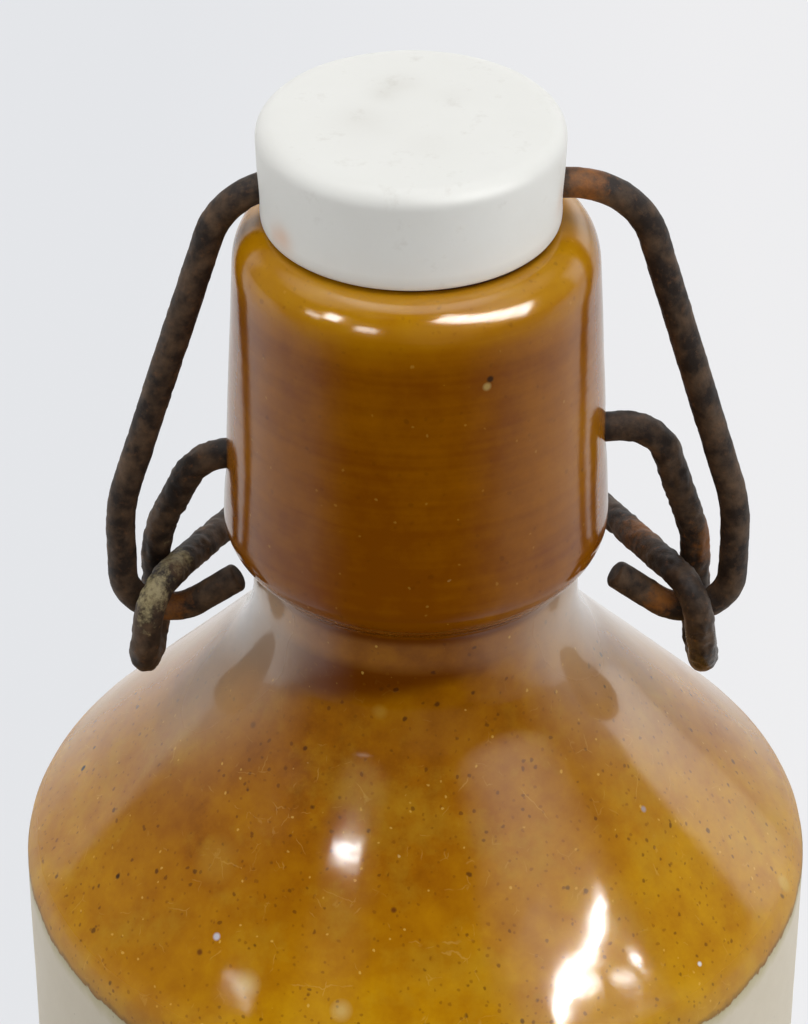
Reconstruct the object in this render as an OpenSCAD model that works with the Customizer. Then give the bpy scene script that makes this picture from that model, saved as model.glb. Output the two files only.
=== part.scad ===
// Swing top bottle: a stoneware bottle closed by a porcelain stopper on a wire bail,
// which a wire lever pivoted in the collar pulls down past its dead centre.
// Millimetres. The base stands on z = 0, the bottle's axis is the z axis,
// the lever's pivot line runs along x and its thumb loop lies behind the neck, at +y.

/* [Body] */
// Radius of the body's wall
body_r = 39; // [36:0.5:44]
// Height at which the shoulder leaves the wall
wall_h = 118.5; // [100:0.5:140]
// Thickness of the pottery in wall, shoulder and neck
wall_t = 6; // [5:0.5:7]
// Thickness of the base
base_t = 8; // [5:0.5:12]
// Rounding of the foot's edge
foot_r = 2.2; // [1:0.1:3]
// Rounding inside, between base and wall
floor_r = 9; // [4:0.5:14]
// Rounding where the wall turns into the shoulder
shoulder_edge_r = 4; // [2:0.5:6]
// Slope of the shoulder, measured from the upright
shoulder_angle = 43; // [40:1:46]
// Hollow rounding between the shoulder and the neck
neck_sweep_r = 13; // [10:0.5:15]

/* [Neck and collar] */
// Radius of the neck under the collar
neck_r = 15.6; // [15.2:0.1:16]
// Length of straight neck under the collar
plain_neck_h = 4.2; // [3.6:0.1:5]
// Height of the collar from its crease to the lip
collar_h = 35.6; // [34:0.1:40]
// Greatest radius of the collar, near its foot
collar_foot_r = 18.3; // [18:0.1:18.6]
// Radius of the collar at the top of its taper
collar_top_r = 16.9; // [16.6:0.1:17.4]
// Height of the rounded foot of the collar
collar_round_h = 4.1; // [3.5:0.1:4.6]
// Radial size of the ellipse that rounds the collar's foot
collar_round_w = 11; // [9:0.5:13]
// Height of the ellipse that rounds the lip's outer edge
lip_round_h = 4.5; // [3.5:0.1:6]
// Radial size of that ellipse
lip_round_w = 3.3; // [2.8:0.1:3.6]
// Size of the bevel in the mouth
mouth_bevel = 3; // [2.8:0.1:3.4]

/* [Wire] */
// Radius of the lever's wire
lever_wire_r = 1.45; // [1.3:0.05:1.45]
// Radius of the bail's wire
bail_wire_r = 1.4; // [1.25:0.05:1.45]
// Thinning of the wire's radius in its bends
bend_thinning = 0.02; // [0.01:0.005:0.03]
// Running clearance of the wire in its round holes
hole_gap = 0.08; // [0.03:0.01:0.1]
// Distance that the lever has slid to the right in its play
lever_slide = 1; // [0:0.1:1.2]
// Distance that the bail has slid to the right in its play
bail_slide = 1.1; // [0.8:0.1:1.3]

/* [Lever] */
// Drop from the lip to the pivot line, on the bottle's axis
pivot_drop = 24.1; // [23:0.1:26]
// Tilt of the pivot line, with the right hole higher
pivot_tilt = 4.8; // [0:0.2:5]
// Depth of each blind pivot hole
pivot_hole_depth = 4.8; // [4.4:0.1:5]
// End play left between a pin and the bottom of its hole
pin_end_gap = 0.3; // [0.2:0.1:0.6]
// Distance from the collar to the knuckle where an arm turns down
knuckle_reach = 3.3; // [3.1:0.1:4]
// Bend of each knuckle, at the middle of the wire
knuckle_bend = 4.6; // [3.5:0.1:5]
// Distance from the bottle's axis to each arm's waist
waist_x = 25.9; // [25.6:0.1:26.2]
// Drop from the pivot line to each arm's waist
waist_drop = 12; // [11:0.5:13]
// Bend at each arm's waist
waist_bend = 14; // [8:1:18]
// Distance by which each waist stands in front of the back of its eye
waist_lean = 0.3; // [0:0.1:0.6]
// Drop from the pivot line to the hooks
lever_throw = 18.2; // [18:0.1:19]
// Distance that the hooks lie in front of the pivot line when closed
over_centre = 1.5; // [1:0.1:1.8]

/* [Eyes] */
// Distance from the bottle's axis to the back of each eye
eye_back_x = 26.3; // [26:0.1:26.4]
// Distance from the bottle's axis to the foot of each eye, at the front
eye_front_x = 26.9; // [26.6:0.1:27.2]
// Distance from the bottle's axis to the top of each eye
eye_top_x = 25.6; // [25.2:0.1:25.8]
// Half depth of each eye, between the middles of the wire
eye_half_depth = 3.65; // [3.6:0.05:4]
// Drop from the hook to the foot of each eye
eye_drop = 5.1; // [4.9:0.1:5.6]
// Rise from the hook to the top of each eye
eye_rise = 4.6; // [4.4:0.1:5.2]
// Bends of each eye, at the middle of the wire
eye_bend = 3.4; // [3:0.1:3.5]

/* [Thumb loop] */
// Distance from the bottle's axis to the back of the thumb loop
loop_y = 26.5; // [25:0.5:28]
// Half width of the thumb loop between its corners
loop_half_w = 11; // [10:0.5:12]
// Drop from the pivot line to the back of the thumb loop
loop_drop = 18; // [17:0.5:20]
// Bends of the thumb loop's corners
loop_bend = 6; // [4:0.5:8]

/* [Bail] */
// Half length of the bail's top bar, between its corners
bail_top_x = 18.5; // [18.2:0.1:19]
// Bend of the bail's top corners
bail_corner_bend = 8; // [7:0.5:8.5]
// Half width of the bail at its feet
bail_foot_x = 29.3; // [29.3:0.1:30]
// Height above the hooks at which each leg turns upright
bail_turn_rise = 11.7; // [11:0.1:13]
// Bend where each leg turns upright
bail_turn_bend = 18; // [12:1:20]
// Bends of each hook
hook_bend = 4; // [3.8:0.1:4.4]
// Length of straight wire on which each hook turns in its eye
hook_seat = 1; // [0.6:0.1:1.4]
// Distance from the bottle's axis to each hook's cut end
hook_end_x = 18.5; // [18.3:0.1:19]
// Slope of each hook, rising to its cut end
hook_slope = 29; // [26:1:32]

/* [Stopper] */
// Greatest radius of the porcelain head, at its top
head_r = 14; // [13.5:0.1:14.4]
// Height of the porcelain head
head_h = 10.1; // [9:0.1:11]
// Narrowing of the head's radius from its top to its underside
head_taper = 0.3; // [0:0.1:0.5]
// Gap between the head and the lip
head_gap = 0.3; // [0.3:0.05:0.5]
// Height of the bail's hole above the underside of the head
cross_hole_h = 3.4; // [2.6:0.1:4]
// Flare of the hole's mouths, measured from its middle line
hole_flare = 14; // [10:1:18]
// Rounding of the head's top edge
head_top_r = 1.3; // [0.8:0.1:2]
// Rounding of the head's lower edge
head_low_r = 0.5; // [0.3:0.1:0.7]
// Radius of the plug under the head
plug_r = 6.2; // [5.8:0.1:6.4]
// Length of the plug under the head
plug_h = 6; // [5.6:0.1:6.4]
// Radius of the bead that keeps the ring on the plug
bead_r = 7.2; // [6.9:0.1:7.4]

/* [Rubber ring] */
// Thickness of the rubber ring
ring_t = 2.8; // [2.6:0.1:3]
// Gap between the ring and the bevel of the mouth
seat_gap = 0.3; // [0.3:0.05:0.4]
// Play between the ring and the plug
ring_play = 0.1; // [0.05:0.05:0.3]

/* [Hidden] */
$fn = 96;

glaze_brown = "#9a5f14";
rusty_iron = "#3a2a22";
porcelain = "#e9eae5";
red_rubber = "#7a3a2a";

wire_fn = 48;
bend_lap = 0.1;
arc_steps = 10;
through = 1;

bore_r = neck_r - wall_t;
slope_len = (body_r - neck_r - (neck_sweep_r + shoulder_edge_r) * (1 - cos(shoulder_angle)))
    / sin(shoulder_angle);
sweep_top_z = wall_h + (neck_sweep_r + shoulder_edge_r) * sin(shoulder_angle)
    + slope_len * cos(shoulder_angle);
crease_z = sweep_top_z + plain_neck_h;
lip_z = crease_z + collar_h;
collar_foot_z = crease_z + collar_round_h;
collar_top_z = lip_z - lip_round_h;

pivot_z = lip_z - pivot_drop;
pivot_collar_r = collar_foot_r - (collar_foot_r - collar_top_r)
    * (pivot_z - collar_foot_z) / (collar_top_z - collar_foot_z);
hole_bottom_x = pivot_collar_r - pivot_hole_depth;
hook_z = pivot_z - lever_throw;
head_z = lip_z + head_gap;
cross_z = head_z + cross_hole_h;

// Points of the part of an ellipse with half axes a and b that lies round centre c,
// from the angle start to the angle end.
function arc(c, a, b, start, end) =
    [for (i = [0:arc_steps])
        let (t = start + (end - start) * i / arc_steps)
        c + [a * cos(t), b * sin(t)]];

function unit(v) = v / norm(v);
function reversed(list) = [for (i = [len(list) - 1:-1:0]) list[i]];

// Angle by which a wire turns at corner p, on its way from a to b.
function turn(a, p, b) = acos(unit(p - a) * unit(b - p));

// Distance from corner p back to the start of a bend of radius r.
function reach(a, p, b, r) = r * tan(turn(a, p, b) / 2);

// Straight run of wire of radius wire_r from a to b.
module run(a, b, wire_r) {
    d = b - a;
    translate(a)
        rotate([0, acos(d.z / norm(d)), atan2(d.y, d.x)])
            cylinder(r = wire_r, h = norm(d), $fn = wire_fn);
}

// Bend of radius r at corner p, on the way from a to b. Bending has thinned the wire
// a little there, and the bend laps into the runs on both sides.
module bend(a, p, b, r, wire_r) {
    u = unit(p - a);
    axis = unit(cross(u, unit(b - p)));
    out = cross(u, axis);
    centre = p - u * reach(a, p, b, r) - out * r;
    lap = atan(bend_lap / r);
    multmatrix([[out.x, u.x, axis.x, centre.x],
                [out.y, u.y, axis.y, centre.y],
                [out.z, u.z, axis.z, centre.z],
                [0, 0, 0, 1]])
        rotate([0, 0, -lap])
            rotate_extrude(angle = turn(a, p, b) + 2 * lap, $fn = 2 * wire_fn)
                translate([r, 0])
                    circle(r = wire_r - bend_thinning, $fn = wire_fn);
}

// Wire of radius wire_r along the corners p, each inner corner i bent to the radius r[i].
module wire(p, r, wire_r) {
    last = len(p) - 1;
    for (i = [0:last - 1]) {
        along = unit(p[i + 1] - p[i]);
        start = i == 0 ? 0 : reach(p[i - 1], p[i], p[i + 1], r[i]);
        end = i == last - 1 ? 0 : reach(p[i], p[i + 1], p[i + 2], r[i + 1]);
        run(p[i] + along * start, p[i + 1] - along * end, wire_r);
    }
    for (i = [1:last - 1])
        bend(p[i - 1], p[i], p[i + 1], r[i], wire_r);
}

// Outline of the neck and shoulder, from the top of the straight neck down to the wall,
// at the depth t under the pottery's surface. Inside, wall and shoulder meet in a corner.
function shoulder_line(t) =
    let (sweep = arc([neck_r + neck_sweep_r, sweep_top_z],
                     neck_sweep_r + t, neck_sweep_r + t, 180, 180 + shoulder_angle),
         foot = sweep[arc_steps],
         run_r = body_r - t - foot.x)
    concat(sweep, t < shoulder_edge_r
        ? arc([body_r - shoulder_edge_r, wall_h],
              shoulder_edge_r - t, shoulder_edge_r - t, shoulder_angle, 0)
        : [foot + [run_r, -run_r / tan(shoulder_angle)]]);

module bottle_outside() {
    round_c = [collar_foot_r - collar_round_w, collar_foot_z];
    crease_angle = acos((neck_r - round_c.x) / collar_round_w);
    rotate_extrude()
        polygon(concat(
            [[0, lip_z]],
            arc([collar_top_r - lip_round_w, collar_top_z], lip_round_w, lip_round_h, 90, 0),
            arc(round_c, collar_round_w, collar_round_h / sin(crease_angle), 0, -crease_angle),
            shoulder_line(0),
            arc([body_r - foot_r, foot_r], foot_r, foot_r, 0, -90),
            [[0, 0]]));
}

module bottle_inside() {
    rotate_extrude()
        polygon(concat(
            [[0, lip_z + through],
             [bore_r + mouth_bevel + through, lip_z + through],
             [bore_r, lip_z - mouth_bevel]],
            shoulder_line(wall_t),
            arc([body_r - wall_t - floor_r, base_t + floor_r], floor_r, floor_r, 0, -90),
            [[0, base_t]]));
}

module bottle() {
    color(glaze_brown)
        difference() {
            bottle_outside();
            bottle_inside();
            for (side = [-1, 1])
                translate([0, 0, pivot_z])
                    rotate([0, 90 * side - pivot_tilt, 0])
                        translate([0, 0, hole_bottom_x])
                            cylinder(r = lever_wire_r + hole_gap, h = pivot_hole_depth + wall_t,
                                     $fn = wire_fn);
        }
}

// Point of the pivot line at the distance x from the bottle's axis.
function on_pivot(x) = [x, 0, pivot_z + x * tan(pivot_tilt)];

// Corners of one half of the lever, from the pin's end to the thumb loop's corner:
// knuckle, waist, round the eye from its back, and out along the leg.
function lever_half(side) = concat(
    [for (x = [hole_bottom_x + lever_slide + pin_end_gap, collar_foot_r + knuckle_reach])
        on_pivot(side * x + lever_slide)],
    [for (q = [[waist_x, eye_half_depth - over_centre - waist_lean, pivot_z - waist_drop],
               [eye_back_x, eye_half_depth - over_centre, hook_z - eye_drop],
               [eye_front_x, -eye_half_depth - over_centre, hook_z - eye_drop],
               [eye_top_x, -eye_half_depth - over_centre, hook_z + eye_rise],
               [loop_half_w, loop_y, pivot_z - loop_drop]])
        [side * q.x + lever_slide, q.y, q.z]]);

module closing_lever() {
    bends = [0, knuckle_bend, waist_bend, eye_bend, eye_bend, eye_bend, loop_bend];
    color(rusty_iron)
        wire(concat(lever_half(-1), reversed(lever_half(1))),
             concat(bends, reversed(bends)), lever_wire_r);
}

// Corners of one half of the bail, from the hook's cut end over its seat in the eye,
// up the leg and to the top corner.
function bail_half(side) =
    let (seat_end_x = bail_foot_x - hook_bend - hook_seat,
         slope_x = seat_end_x - hook_bend * tan(hook_slope / 2))
    [for (q = [[hook_end_x, -over_centre, hook_z + (slope_x - hook_end_x) * tan(hook_slope)],
               [slope_x, -over_centre, hook_z],
               [bail_foot_x, -over_centre, hook_z],
               [bail_foot_x, -over_centre, hook_z + bail_turn_rise],
               [bail_top_x, 0, cross_z]])
        [side * q.x + bail_slide, q.y, q.z]];

module stopper_bail() {
    bends = [0, hook_bend, hook_bend, bail_turn_bend, bail_corner_bend];
    color(rusty_iron)
        wire(concat(bail_half(-1), reversed(bail_half(1))),
             concat(bends, reversed(bends)), bail_wire_r);
}

// Hole through the head for the bail's top bar. Its mouths flare from where the nearer
// corner of the bail begins to bend.
module cross_hole() {
    left = bail_half(-1);
    right = bail_half(1);
    flare_x = bail_top_x - bail_slide - reach(left[3], left[4], right[4], bail_corner_bend);
    flare_len = head_r + through - flare_x;
    hole_r = bail_wire_r + hole_gap;
    translate([0, 0, cross_z]) {
        rotate([0, 90, 0])
            cylinder(r = hole_r, h = 2 * (head_r + through), center = true, $fn = wire_fn);
        for (side = [-1, 1])
            rotate([0, 90 * side, 0])
                translate([0, 0, flare_x])
                    cylinder(r1 = hole_r, r2 = hole_r + flare_len * tan(hole_flare),
                             h = flare_len, $fn = wire_fn);
    }
}

module stopper() {
    bead_z = head_z - ring_t;
    bead_c = [bead_r - (plug_h - ring_t) / 2, bead_z - (plug_h - ring_t) / 2];
    color(porcelain)
        difference() {
            rotate_extrude()
                polygon(concat(
                    [[0, head_z + head_h]],
                    arc([head_r - head_top_r, head_z + head_h - head_top_r],
                        head_top_r, head_top_r, 90, 0),
                    arc([head_r - head_taper - head_low_r, head_z + head_low_r],
                        head_low_r, head_low_r, 0, -90),
                    [[plug_r, head_z],
                     [plug_r, bead_z]],
                    arc(bead_c, bead_r - bead_c.x, bead_z - bead_c.y, 90, -90),
                    [[0, head_z - plug_h]]));
            cross_hole();
        }
}

module rubber_ring() {
    top_r = bore_r + mouth_bevel + head_gap - seat_gap / cos(45);
    color(red_rubber)
        rotate_extrude()
            polygon([[plug_r + ring_play, head_z],
                     [top_r, head_z],
                     [top_r - ring_t, head_z - ring_t],
                     [plug_r + ring_play, head_z - ring_t]]);
}

bottle();
closing_lever();
stopper_bail();
stopper();
rubber_ring();
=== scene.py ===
import math

import bpy
import numpy as np
from mathutils import Euler, Matrix


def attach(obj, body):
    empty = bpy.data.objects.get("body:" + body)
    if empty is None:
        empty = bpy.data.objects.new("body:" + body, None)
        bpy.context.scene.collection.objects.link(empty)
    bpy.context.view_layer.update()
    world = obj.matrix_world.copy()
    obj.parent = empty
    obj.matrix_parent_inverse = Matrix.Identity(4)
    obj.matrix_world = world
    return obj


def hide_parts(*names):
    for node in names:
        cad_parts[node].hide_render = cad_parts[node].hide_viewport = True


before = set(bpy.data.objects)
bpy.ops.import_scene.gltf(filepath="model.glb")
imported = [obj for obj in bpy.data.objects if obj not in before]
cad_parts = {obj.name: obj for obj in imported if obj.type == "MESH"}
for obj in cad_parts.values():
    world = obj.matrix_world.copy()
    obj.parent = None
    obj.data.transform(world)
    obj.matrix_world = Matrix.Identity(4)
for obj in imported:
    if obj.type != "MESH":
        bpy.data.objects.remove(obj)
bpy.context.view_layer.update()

MM = 0.001


# ---------------------------------------------------------------- sizes, in millimetres
# R ends the name of a radius, T of a thickness, H of a height, W of a width, and Z of a
# height over the table. SHOULDER_ANGLE and PIVOT_TILT are in degrees.

BODY_R, WALL_H, WALL_T, BASE_T = 39.0, 118.5, 6.0, 8.0
FOOT_R, FLOOR_R, SHOULDER_EDGE_R, SHOULDER_ANGLE, SWEEP_R = 2.2, 9.0, 4.0, 43.0, 13.0
NECK_R, PLAIN_NECK_H = 15.6, 4.2
COLLAR_H, COLLAR_FOOT_R, COLLAR_TOP_R = 35.6, 18.3, 16.9
COLLAR_ROUND_H, COLLAR_ROUND_W, LIP_ROUND_H, LIP_ROUND_W, BEVEL = 4.1, 11.0, 4.5, 3.3, 3.0
LEVER_WIRE_R, BAIL_WIRE_R, HOLE_GAP, LEVER_SLIDE = 1.45, 1.4, 0.08, 1.0
PIVOT_DROP, PIVOT_TILT, HOLE_DEPTH, PIN_GAP = 24.1, 4.8, 4.8, 0.3
LEVER_THROW, OVER_CENTRE, EYE_HALF = 18.2, 1.5, 3.65
HEAD_R, HEAD_H, HEAD_TAPER, HEAD_GAP, CROSS_H = 14.0, 10.1, 0.3, 0.3, 3.4
HEAD_TOP_R, HEAD_LOW_R, HEAD_LEFT = 1.7, 0.5, 0.5
PLUG_R, PLUG_H, BEAD_R, RING_T, RING_PLAY, SEAT_GAP = 6.2, 6.0, 7.2, 2.8, 0.1, 0.3

sin_s, cos_s = math.sin(math.radians(SHOULDER_ANGLE)), math.cos(math.radians(SHOULDER_ANGLE))
SLOPE = (BODY_R - NECK_R - (SWEEP_R + SHOULDER_EDGE_R) * (1 - cos_s)) / sin_s
SWEEP_TOP_Z = WALL_H + (SWEEP_R + SHOULDER_EDGE_R) * sin_s + SLOPE * cos_s
CREASE_Z = SWEEP_TOP_Z + PLAIN_NECK_H
LIP_Z = CREASE_Z + COLLAR_H
PIVOT_Z = LIP_Z - PIVOT_DROP
HOOK_Z = PIVOT_Z - LEVER_THROW
HEAD_Z = LIP_Z + HEAD_GAP
CROSS_Z = HEAD_Z + CROSS_H
TILT = math.tan(math.radians(PIVOT_TILT))

# The dip line's height on the axis, and its rise for each millimetre to the back.
DIP_Z, DIP_TILT = 119.0, 0.055

# Columns round each piece, the gap between the rings of a wire, and how much columns crowd
# to both sides, where the holes are.
BOTTLE_COLUMNS, STOPPER_COLUMNS, RING_COLUMNS, WIRE_COLUMNS = 312, 360, 180, 44
WIRE_RING_GAP, BOTTLE_CROWDING, STOPPER_CROWDING = 0.27, 0.55, 0.6


# ---------------------------------------------------------------- shaping

def unit(v):
    return v / np.linalg.norm(v)


def smooth_step(low, high, x):
    """0 below low, 1 above high, and 3t²-2t³ between them."""
    t = np.clip((x - low) / (high - low), 0.0, 1.0)
    return t * t * (3 - 2 * t)


def clay_noise(p, cell, seed):
    """Value noise from -1 to 1: a number hashed from the place of each corner of a cubic
    lattice with the given cell, in millimetres, blended across each cell by 3t²-2t³."""
    q = p / cell
    corner = np.floor(q).astype(np.int64)
    t = q - corner
    t = t * t * (3 - 2 * t)
    total = 0.0
    for step in np.ndindex(2, 2, 2):
        at = corner + step
        h = (at[..., 0] * 73856093 ^ at[..., 1] * 19349663 ^ at[..., 2] * 83492791
             ^ seed * 2654435761) & 0xFFFFFFFF
        h = (h ^ h >> 15) * 2246822519 & 0xFFFFFFFF
        h = (h ^ h >> 13) * 3266489917 & 0xFFFFFFFF
        share = np.where(step, t, 1 - t)
        share = share[..., 0] * share[..., 1] * share[..., 2]
        total = total + share * (((h ^ h >> 16) & 0xFFFF) / 32767.5 - 1)
    return total


def spots(points, centres):
    """Sum of round soft spots: strength × exp(-(distance / radius)²) for each centre."""
    total = np.zeros(points.shape[:-1])
    for *centre, radius, strength in centres:
        far = np.sum((points - np.array(centre)) ** 2, axis=-1)
        total += strength * np.exp(-far / radius ** 2)
    return total


def arc(centre, a, b, start, end, steps=40):
    """Part of an ellipse: centre + (a cos t, b sin t), t running from start to end degrees."""
    t = np.radians(np.linspace(start, end, steps))
    return np.stack([centre[0] + a * np.cos(t), centre[1] + b * np.sin(t)], -1)


def softened(line, step, blur, closed=False):
    """The line resampled at equal steps of its length and then averaged with a bell curve of
    the given width, so that every corner is as round as glaze leaves it."""
    if closed:
        line = np.vstack([line, line[:1]])
    length = np.concatenate([[0], np.cumsum(np.hypot(*np.diff(line, axis=0).T))])
    at = np.linspace(0, length[-1], int(length[-1] / step) + 1)
    even = np.stack([np.interp(at, length, line[:, k]) for k in (0, 1)], -1)
    n = int(4 * blur / step) + 1
    bell = np.exp(-0.5 * (np.arange(-n, n + 1) * step / blur) ** 2)
    bell /= bell.sum()
    if closed:
        even = even[:-1]
        padded = np.vstack([even[-n:], even, even[:n]])
    else:
        padded = np.vstack([2 * even[0] - even[n:0:-1], even, 2 * even[-1] - even[-2:-n - 2:-1]])
    return np.stack([np.convolve(padded[:, k], bell, "valid") for k in (0, 1)], -1)


def spaced(line, gap):
    """Picks points of a dense line so that neighbours lie about gap apart, where gap is an
    array with a distance for each point of the line."""
    step = np.hypot(*np.diff(line, axis=0).T)
    count = np.concatenate([[0], np.cumsum(step / ((gap[1:] + gap[:-1]) / 2))])
    at = np.linspace(0, count[-1], int(round(count[-1])) + 1)
    return np.stack([np.interp(at, count, line[:, k]) for k in (0, 1)], -1)


def thrown(line, columns, side_crowding=0.0):
    """Surface of revolution: (r cos a, r sin a, z) for each point (r, z) of the line and each
    angle a. With u even round the circle, a = u - c sin(2u) / 2 crowds the columns at ±x."""
    u = np.linspace(0, 2 * np.pi, columns, endpoint=False)
    a = u - side_crowding * np.sin(2 * u) / 2
    r, z = line[:, :1], line[:, 1:]
    return np.stack([r * np.cos(a), r * np.sin(a), z + 0 * a], -1)


class BentWire:
    """Middle line of a bent wire: straight runs between its corners, and at each inner corner
    an arc that touches both runs. across is a direction square to the wire that turns with
    each arc about the arc's own axis, so that the wire is never twisted."""

    def __init__(self, corners, bends):
        p = np.array(corners, float)
        way = [unit(b - a) for a, b in zip(p[:-1], p[1:])]
        turn = [math.acos(float(np.clip(u @ v, -1, 1))) for u, v in zip(way, way[1:])]
        turn = [0.0] + turn + [0.0]
        reach = [r * math.tan(t / 2) for r, t in zip(bends, turn)]
        self.pieces, self.length = [], 0.0
        across = unit(np.cross(way[0], (0.31, 0.2, 0.93)))
        for i, u in enumerate(way):
            start = p[i] + u * reach[i]
            run = float((p[i + 1] - u * reach[i + 1] - start) @ u)
            self.pieces.append(("run", self.length, run, start, u, across, None, 0.0))
            self.length += run
            if i + 1 < len(way):
                axis = unit(np.cross(u, way[i + 1]))
                bow = bends[i + 1] * turn[i + 1]
                self.pieces.append(("arc", self.length, bow, p[i + 1] - u * reach[i + 1], u,
                                    across, axis, bends[i + 1]))
                self.length += bow
                c, s = math.cos(turn[i + 1]), math.sin(turn[i + 1])
                across = across * c + np.cross(axis, across) * s + axis * (axis @ across) * (1 - c)

    def at(self, s):
        """Middle points, directions and across vectors for an array s of lengths."""
        middle, along, across = (np.zeros((len(s), 3)) for _ in range(3))
        for kind, begin, length, start, u, side, axis, r in self.pieces:
            here = (s >= begin - 1e-9) & (s <= begin + length + 1e-9)
            d = (s[here] - begin)[:, None]
            if kind == "run":
                middle[here], along[here], across[here] = start + d * u, u, side
            else:
                c, w = np.cos(d / r), np.sin(d / r)
                inward = np.cross(axis, u)
                middle[here] = start + r * (w * u + (1 - c) * inward)
                along[here] = c * u + w * inward
                across[here] = side * c + np.cross(axis, side) * w + axis * (axis @ side) * (1 - c)
        return middle, along, across


def drawn_wire(path, radius, edge, relief):
    """Tube carried along a bent wire: middle + R (cos f across + sin f side), f round the wire.
    R is the radius plus the relief of rust there. At both cut ends R falls to radius - edge
    along a quarter circle. The second grid is the wire without rust or rounded ends."""
    fine = edge * (1 - np.cos(np.linspace(0, np.pi / 2, 7)))
    s = np.concatenate([fine, np.linspace(edge, path.length - edge,
                                          int(path.length / WIRE_RING_GAP))[1:-1],
                        (path.length - fine)[::-1]])
    middle, along, across = path.at(s)
    side = np.cross(along, across)
    f = np.linspace(0, 2 * np.pi, WIRE_COLUMNS, endpoint=False)
    ray = across[:, None] * np.cos(f)[:, None] + side[:, None] * np.sin(f)[:, None]
    bare = middle[:, None] + radius * ray
    end = np.clip(np.minimum(s, path.length - s), 0, edge)
    drop = edge - np.sqrt(np.maximum(edge ** 2 - (edge - end) ** 2, 0))
    r = radius - drop[:, None] + relief(bare)
    return middle[:, None] + r[..., None] * ray, bare


# ---------------------------------------------------------------- meshes

def clad(name, grid, body, node, material, poles=True, marks=None):
    """Makes the mesh of a grid of points in millimetres, whose columns join round. Rows join
    round too, or each end row is closed by a fan about its middle. marks are numbers carried
    by the points, by name."""
    rows, columns = grid.shape[:2]
    points = grid.reshape(-1, 3)
    i = np.arange(rows if not poles else rows - 1)[:, None]
    j = np.arange(columns)[None]
    k = (j + 1) % columns
    up = (i + 1) % rows
    quads = np.stack([i * columns + j, i * columns + k, up * columns + k, up * columns + j], -1)
    faces = quads.reshape(-1, 4).tolist()
    if poles:
        points = np.vstack([points, grid[0].mean(0), grid[-1].mean(0)])
        first, last = len(points) - 2, len(points) - 1
        j, k = j[0], k[0]
        faces += np.stack([0 * j + first, k, j], -1).tolist()
        faces += np.stack([0 * j + last, (rows - 1) * columns + j, (rows - 1) * columns + k],
                          -1).tolist()
    mesh = bpy.data.meshes.new(name)
    mesh.from_pydata((points * MM).tolist(), [], faces)
    mesh.polygons.foreach_set("use_smooth", np.ones(len(faces), bool))
    for key, value in (marks or {}).items():
        value = np.broadcast_to(value, (rows, columns)).reshape(-1)
        if poles:
            value = np.concatenate([value, [value[0], value[-1]]])
        mesh.attributes.new(key, "FLOAT", "POINT").data.foreach_set(
            "value", value.astype(np.float32))
    mesh.update()
    piece = bpy.data.objects.new(name, mesh)
    bpy.context.scene.collection.objects.link(piece)
    mesh.materials.append(material)
    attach(piece, body)
    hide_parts(node)
    return piece


# ---------------------------------------------------------------- material helpers

def tint(code):
    """sRGB hex colour as linear RGBA."""
    c = np.array([int(code[k:k + 2], 16) for k in (1, 3, 5)]) / 255
    linear = np.where(c <= 0.04045, c / 12.92, ((c + 0.055) / 1.055) ** 2.4)
    return (*linear.tolist(), 1.0)


def per_mm(size):
    """Texture scale at which one feature measures this many millimetres."""
    return 1.0 / (size * MM)


def add(tree, kind, inputs=(), **settings):
    """Adds a shader node, makes its settings and fills its inputs, either by name from a dict,
    or from a tuple in the order in which the node shows them. A value that is a node itself
    stands for the first output that this node shows."""
    made = tree.nodes.new("ShaderNode" + kind)
    for key, value in settings.items():
        setattr(made, key, value)
    if isinstance(inputs, dict):
        pairs = [(made.inputs[key], value) for key, value in inputs.items()]
    else:
        pairs = zip([socket for socket in made.inputs if socket.enabled], inputs)
    for socket, value in pairs:
        if isinstance(value, bpy.types.Node):
            value = next(output for output in value.outputs if output.enabled)
        if isinstance(value, bpy.types.NodeSocket):
            tree.links.new(value, socket)
        else:
            socket.default_value = value
    return made


def bare_finish(name):
    """An empty material, its node tree and its object coordinates."""
    material = bpy.data.materials.new(name)
    material.use_nodes = True
    tree = material.node_tree
    tree.nodes.clear()
    return material, tree, add(tree, "TexCoord").outputs["Object"]


# ---------------------------------------------------------------- glazed stoneware

def glaze_specks(tree, place, colour, size, radius, share, strength, code):
    """Round marks in a glaze: a share of the cells of the given size has a mark of the given
    radius, soft in its outer 40 %."""
    cell = add(tree, "TexVoronoi", {"Vector": place, "Scale": per_mm(size)})
    dot = add(tree, "MapRange", (cell, 0.6 * radius / size, radius / size, strength, 0.0))
    draw = add(tree, "SeparateColor", (cell.outputs["Color"],))
    chosen = add(tree, "Math", (draw, 1 - share), operation="GREATER_THAN")
    mark = add(tree, "Math", (dot, chosen), operation="MULTIPLY")
    return add(tree, "Mix", (mark, colour, tint(code)), data_type="RGBA")


def glaze_scratches(tree, place, size, width):
    """Share of fine curved lines: the edges of cells of the given size, but only where a noise
    nearly as broad stands high."""
    edge = add(tree, "TexVoronoi", {"Vector": place, "Scale": per_mm(size)},
               feature="DISTANCE_TO_EDGE")
    line = add(tree, "MapRange", (edge, 0.3 * width / size, width / size, 1.0, 0.0))
    part = add(tree, "TexNoise", {"Vector": place, "Scale": per_mm(0.8 * size), "Detail": 2.0})
    part = add(tree, "MapRange", (part, 0.6, 0.66))
    return add(tree, "Math", (line, part), operation="MULTIPLY")


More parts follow.
